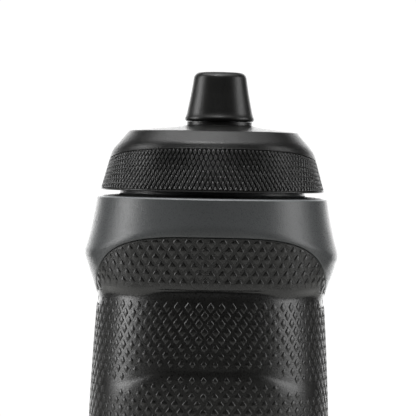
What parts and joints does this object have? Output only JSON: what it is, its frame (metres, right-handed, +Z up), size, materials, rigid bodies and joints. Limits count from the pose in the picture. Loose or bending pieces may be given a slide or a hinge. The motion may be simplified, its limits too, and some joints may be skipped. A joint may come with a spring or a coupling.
{
  "type": "sports squeeze bottle",
  "caption": "Squeezable sports drink bottle with a textured soft grip, a screw lid and a push-pull spout.",
  "frame": {"origin": "middle of the base, on the surface the bottle stands on", "axes": "+Z up through the spout, -Y towards the front grip panel, +X to the bottle's right as seen from the front"},
  "size_m": [0.08, 0.078, 0.2275],
  "materials": {
    "body_plastic": "satin",
    "grip_rubber": "satin",
    "lid_plastic": "satin",
    "spout_rubber": "satin",
    "inner_plastic": "satin",
    "clear_silicone": "satin",
    "seal_rubber": "satin"
  },
  "bodies": {
    "bottle": {"bottle_body": "body_plastic", "grip_sleeve": "grip_rubber"},
    "lid_seal": {"lid_gasket": "clear_silicone"},
    "lid": {"lid_shell": "lid_plastic", "spout_stem": "inner_plastic", "stem_seal": "clear_silicone", "slit_valve": "clear_silicone", "valve_retainer": "inner_plastic", "spout_o_ring": "seal_rubber"},
    "spout": {"spout_slider": "inner_plastic", "spout_nozzle": "spout_rubber"}
  },
  "joints": [
    {"name": "lid_lift", "type": "slide", "parent": "bottle", "child": "lid_seal", "axis": [0, 0, 1], "range_m": [0, 0.016]},
    {"name": "lid_turn", "type": "hinge", "parent": "lid_seal", "child": "lid", "pos_m": [0, 0, 0.19], "axis": [0, 0, 1], "range_deg": [0, 720]},
    {"name": "spout_pull", "type": "slide", "parent": "lid", "child": "spout", "axis": [0, 0, 1], "range_m": [0, 0.0054]}
  ],
  "couplings": [
    {"joint": "lid_turn", "follows": "lid_lift", "rad_per_m": 785.39}
  ]
}
